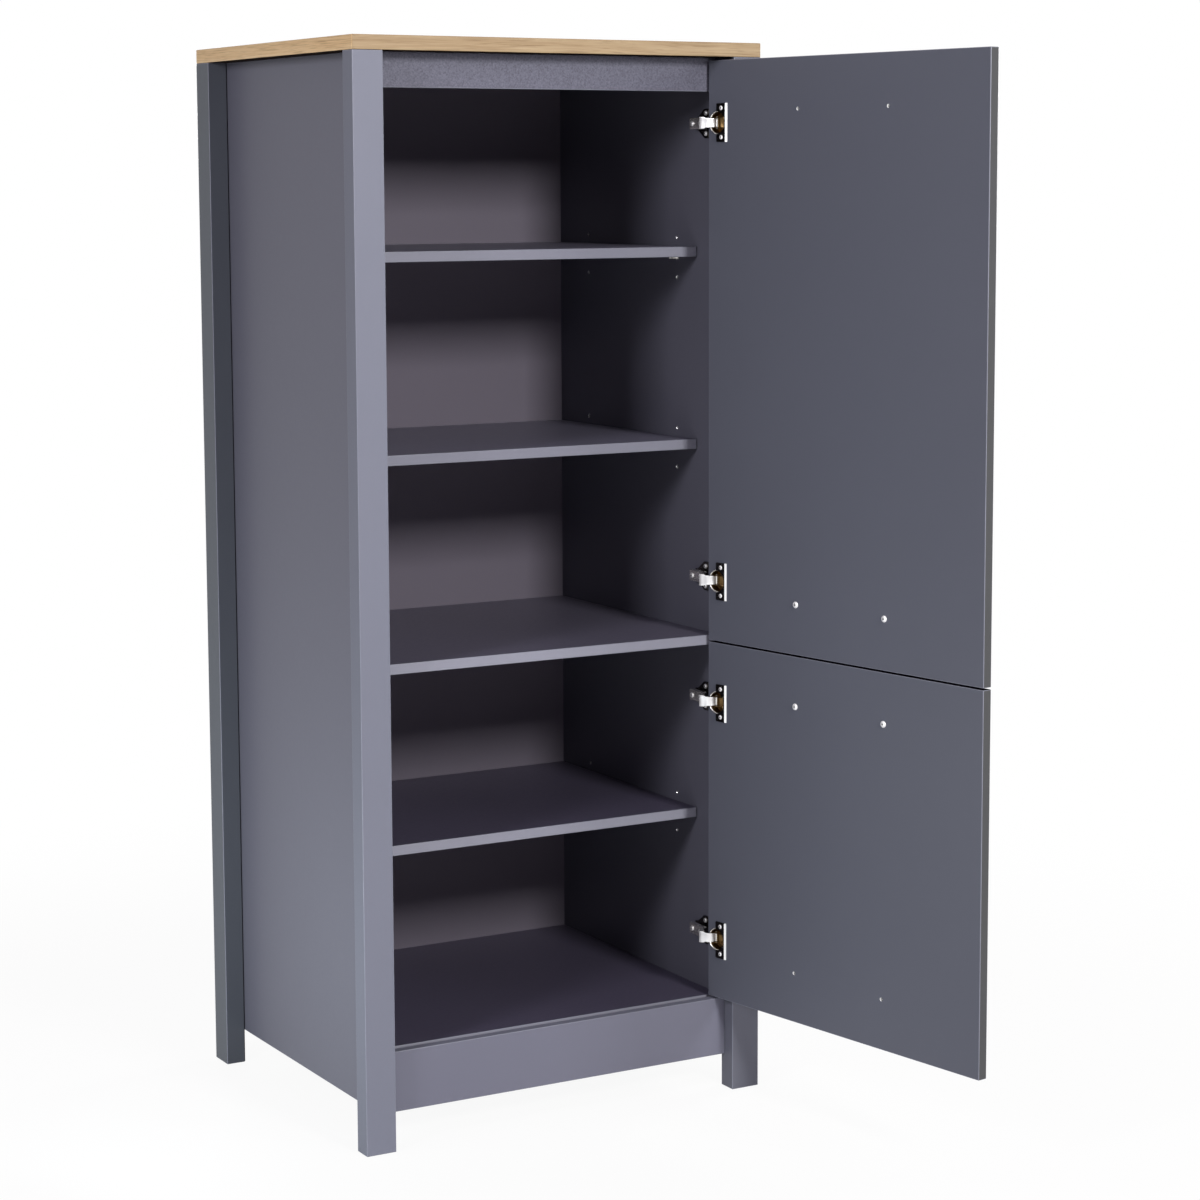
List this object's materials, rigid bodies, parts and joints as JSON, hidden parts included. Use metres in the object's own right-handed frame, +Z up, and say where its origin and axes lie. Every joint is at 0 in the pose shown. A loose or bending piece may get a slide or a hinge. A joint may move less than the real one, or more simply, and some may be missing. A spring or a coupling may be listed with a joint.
{
  "type": "tall cabinet",
  "caption": "Free-standing tall larder cabinet on square legs, with a wooden top, open shelving behind a taller and a shorter inset door, and concealed hinges.",
  "frame": {"origin": "centre of the front left leg's foot, on the floor", "axes": "+X to the right across the front, +Y from the front to the wall, +Z up"},
  "size_m": [0.745, 1.1402, 1.67],
  "materials": {
    "painted_board": "satin slate grey paint on board",
    "oak_board": "clear satin oak",
    "back_board": "satin slate grey paint on thin board",
    "nickel": "bright nickel plate",
    "zinc_steel": "zinc plated steel",
    "beech": "bare beech"
  },
  "bodies": {
    "carcass": {"worktop": "oak_board", "leg_front_left": "painted_board", "leg_front_right": "painted_board", "leg_rear_left": "painted_board", "leg_rear_right": "painted_board", "side_panel_left": "painted_board", "side_panel_right": "painted_board", "bottom_panel": "painted_board", "fixed_shelf": "painted_board", "back_panel": "back_board", "top_rail_front": "painted_board", "top_rail_rear": "painted_board", "bottom_rail_front": "painted_board", "bottom_rail_rear": "painted_board", "shelf_high": "painted_board", "shelf_middle": "painted_board", "shelf_low": "painted_board", "shelf_pins": "nickel", "dowels": "beech", "cam_locks": "zinc_steel", "cam_bolts": "zinc_steel", "leg_screws": "zinc_steel", "back_panel_screws": "zinc_steel", "angle_brackets": "zinc_steel", "bracket_screws": "zinc_steel", "hinge_plates": "zinc_steel", "plate_screws": "zinc_steel", "hinge_arms": "nickel", "arm_screws": "zinc_steel"},
    "door_upper": {"door_upper": "painted_board", "handle_bar_upper": "nickel", "handle_posts_upper": "nickel", "handle_screws_upper": "zinc_steel", "hinge_cups_upper": "nickel", "hinge_pins_upper": "zinc_steel", "cup_screws_upper": "zinc_steel"},
    "door_lower": {"door_lower": "painted_board", "handle_bar_lower": "nickel", "handle_posts_lower": "nickel", "handle_screws_lower": "zinc_steel", "hinge_cups_lower": "nickel", "hinge_pins_lower": "zinc_steel", "cup_screws_lower": "zinc_steel"}
  },
  "joints": [
    {"name": "door_upper_swing", "type": "hinge", "parent": "carcass", "child": "door_upper", "pos_m": [0.6145, 0.0137, 1.188], "axis": [0, 0, 1], "range_deg": [-99.5, 0]},
    {"name": "door_lower_swing", "type": "hinge", "parent": "carcass", "child": "door_lower", "pos_m": [0.6145, 0.0137, 0.4405], "axis": [0, 0, 1], "range_deg": [-99.5, 0]}
  ]
}
